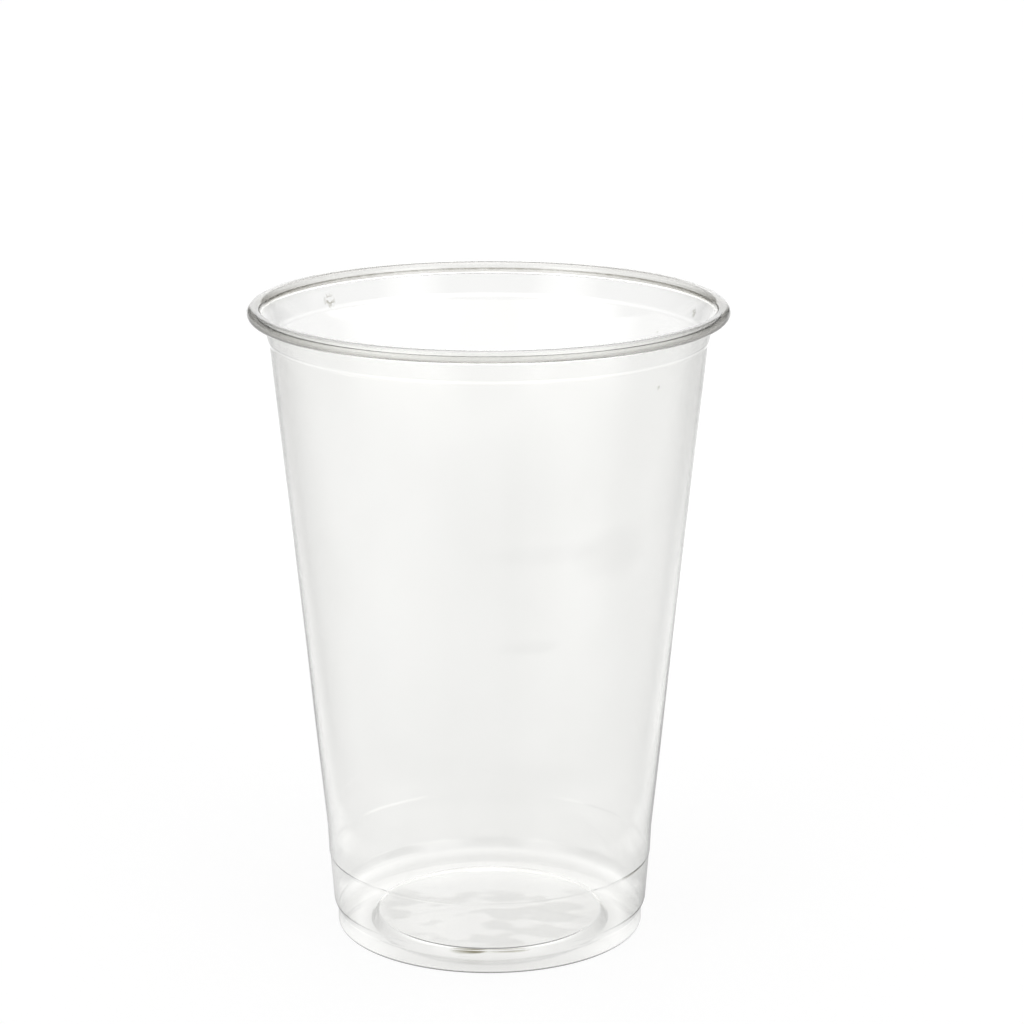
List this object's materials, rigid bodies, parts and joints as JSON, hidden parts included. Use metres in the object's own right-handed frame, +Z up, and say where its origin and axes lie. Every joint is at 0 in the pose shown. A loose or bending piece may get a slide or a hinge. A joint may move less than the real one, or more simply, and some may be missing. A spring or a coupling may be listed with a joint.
{
  "type": "biodegradable cup",
  "caption": "Clear tapered cold-drink cup of compostable plastic, with a rolled rim, a stepped neck, a stacking ledge and a raised floor panel.",
  "frame": {"origin": "on the cup's axis, in the plane of the foot that it stands on", "axes": "+Z up along the cup's axis, from the foot to the mouth; the cup is round, so X and Y are free"},
  "size_m": [0.0716, 0.0716, 0.097],
  "materials": {
    "clear_sheet": "clear glossy plastic sheet with a faint grey-green tint, seen through everywhere"
  },
  "bodies": {
    "root": {"cup": "clear_sheet"}
  },
  "joints": []
}
